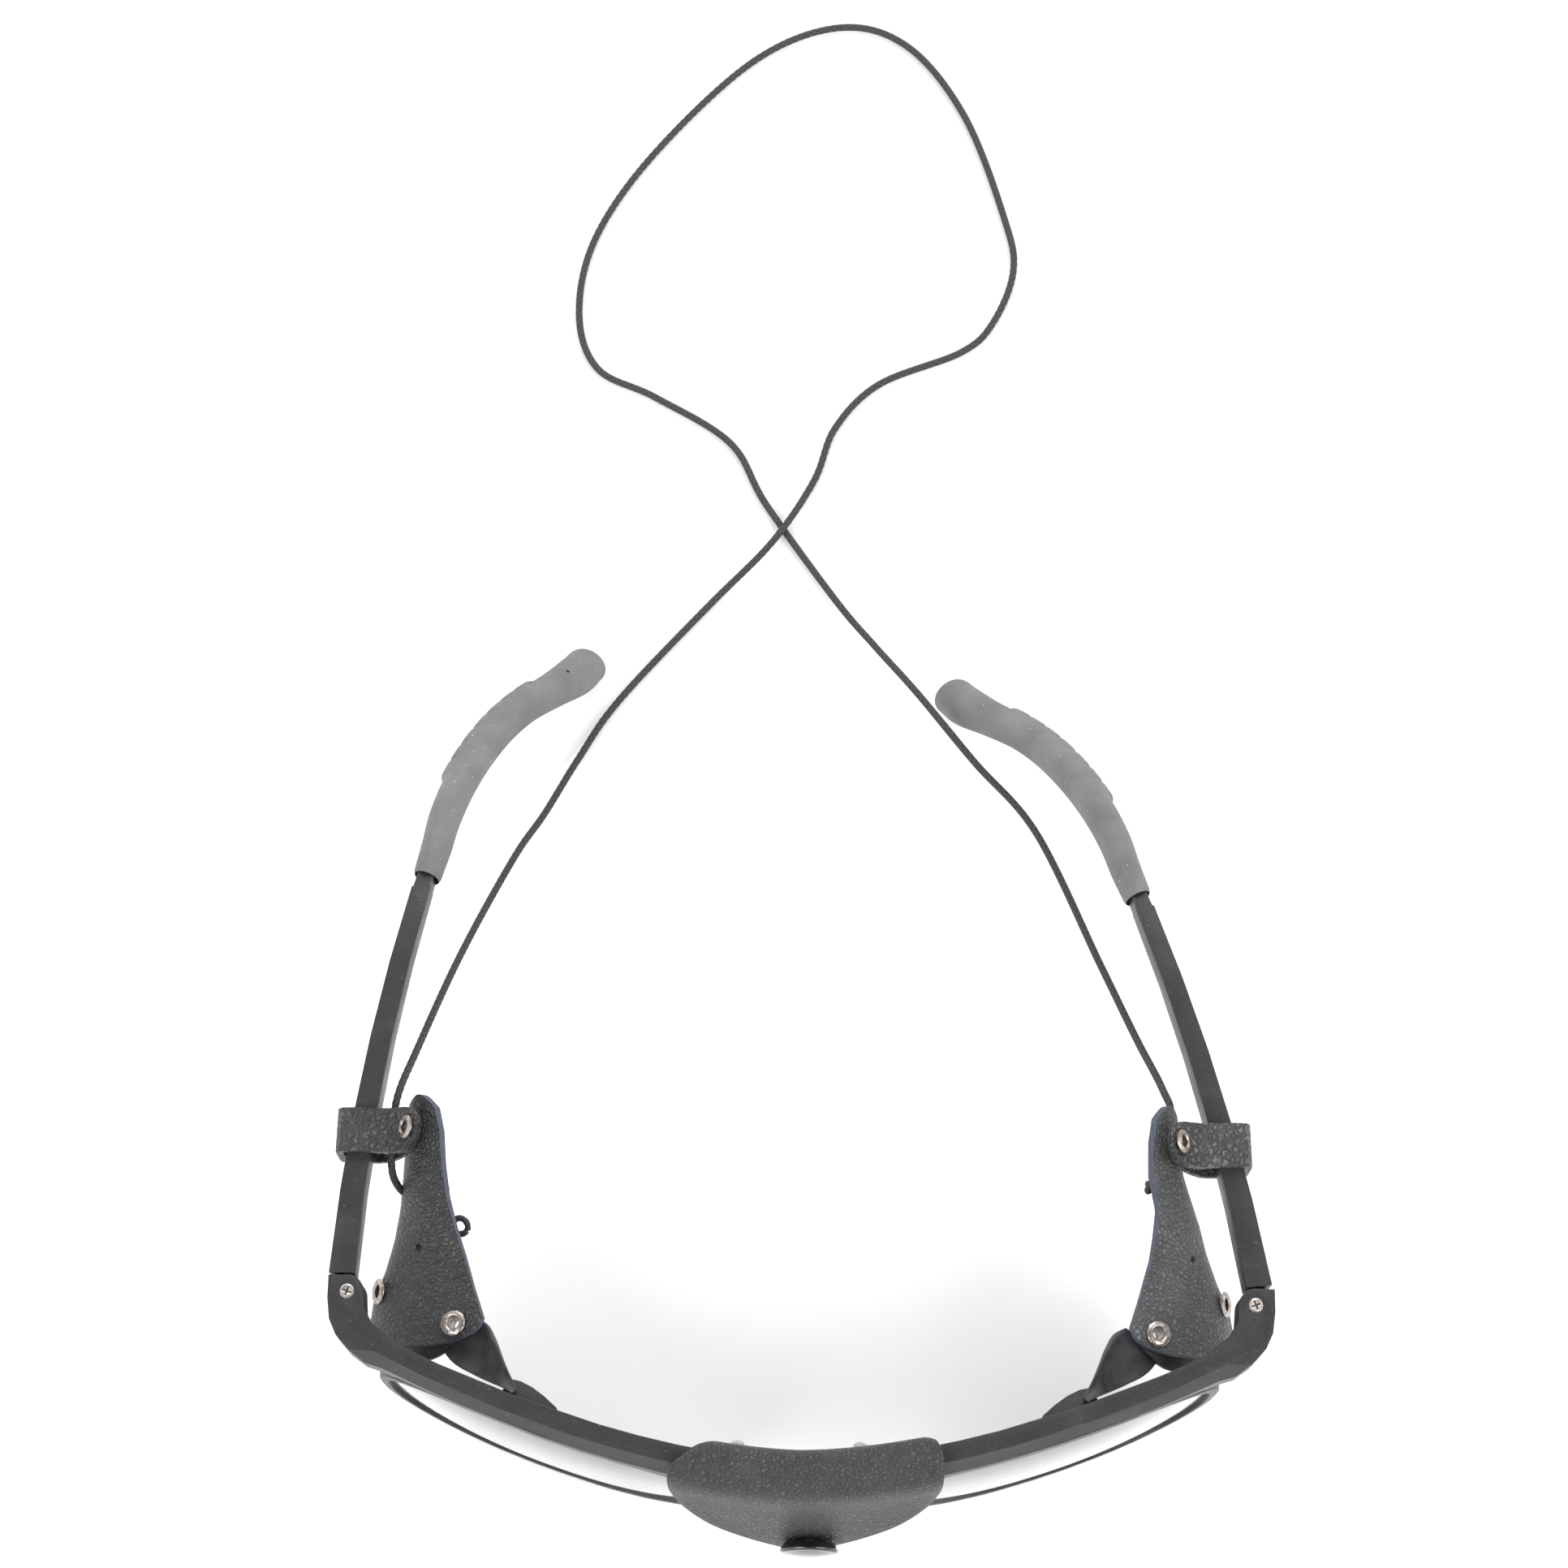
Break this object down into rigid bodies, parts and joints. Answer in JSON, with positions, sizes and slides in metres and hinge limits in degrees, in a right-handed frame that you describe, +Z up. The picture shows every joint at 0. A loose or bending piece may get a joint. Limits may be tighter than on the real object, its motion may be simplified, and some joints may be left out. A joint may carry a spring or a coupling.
{
  "type": "glacier sunglasses with retainer strap",
  "caption": "Wrap sunglasses with dark mirrored lenses, leather side shields and bridge cover, folding temples with rubber ear sleeves, and a thin braided retainer cord.",
  "frame": {"origin": "on the table under the middle of the glasses, half way from the front of the bridge cover to the ear tips", "axes": "+X towards the right end of the front as seen from above with the front nearest, +Y from the front to the ear tips, +Z up. The open glasses stand on the lower rims and an ear tip."},
  "size_m": [0.1432, 0.2648, 0.0466],
  "materials": {
    "charcoal_plastic": "satin",
    "mirror_lens": "polished",
    "clear_pad": "translucent soft",
    "black_leather": "pebbled",
    "black_lacquer": "gloss",
    "snap_metal": "satin",
    "carrier_rubber": "satin",
    "nickel": "worn polish",
    "bright_steel": "polished",
    "grey_rubber": "matt",
    "braided_cord": "braided"
  },
  "bodies": {
    "front": {"front_frame": "charcoal_plastic", "lens_left": "mirror_lens", "lens_right": "mirror_lens", "nose_pad_left": "clear_pad", "nose_pad_right": "clear_pad", "bridge_cover": "black_leather", "snap_cap": "black_lacquer", "snap_socket": "snap_metal", "snap_stud": "snap_metal", "snap_post": "snap_metal", "shield_carrier_left": "carrier_rubber", "shield_carrier_right": "carrier_rubber", "shield_left": "black_leather", "shield_right": "black_leather", "shield_eyelets_left": "nickel", "shield_eyelets_right": "nickel", "hinge_screw_left": "bright_steel", "hinge_screw_right": "bright_steel", "cord": "braided_cord", "cord_knot_left": "braided_cord", "cord_knot_right": "braided_cord", "cord_tail_left": "braided_cord"},
    "temple_left": {"temple_left": "charcoal_plastic", "ear_sleeve_left": "grey_rubber", "strap_left": "black_leather", "strap_eyelet_left": "nickel"},
    "temple_right": {"temple_right": "charcoal_plastic", "ear_sleeve_right": "grey_rubber", "strap_right": "black_leather", "strap_eyelet_right": "nickel"}
  },
  "joints": [
    {"name": "left_hinge", "type": "hinge", "parent": "front", "child": "temple_left", "pos_m": [-0.0687, -0.03698, 0.03891], "axis": [0, -0.0872, -0.9962], "range_deg": [0, 75], "deforming": ["shield_left", "cord", "cord_knot_left", "cord_tail_left", "shield_eyelets_left"]},
    {"name": "right_hinge", "type": "hinge", "parent": "front", "child": "temple_right", "pos_m": [0.0687, -0.03698, 0.03891], "axis": [0, 0.0872, 0.9962], "range_deg": [-6.8, 60], "deforming": ["shield_right", "cord_knot_right", "shield_eyelets_right"]}
  ]
}
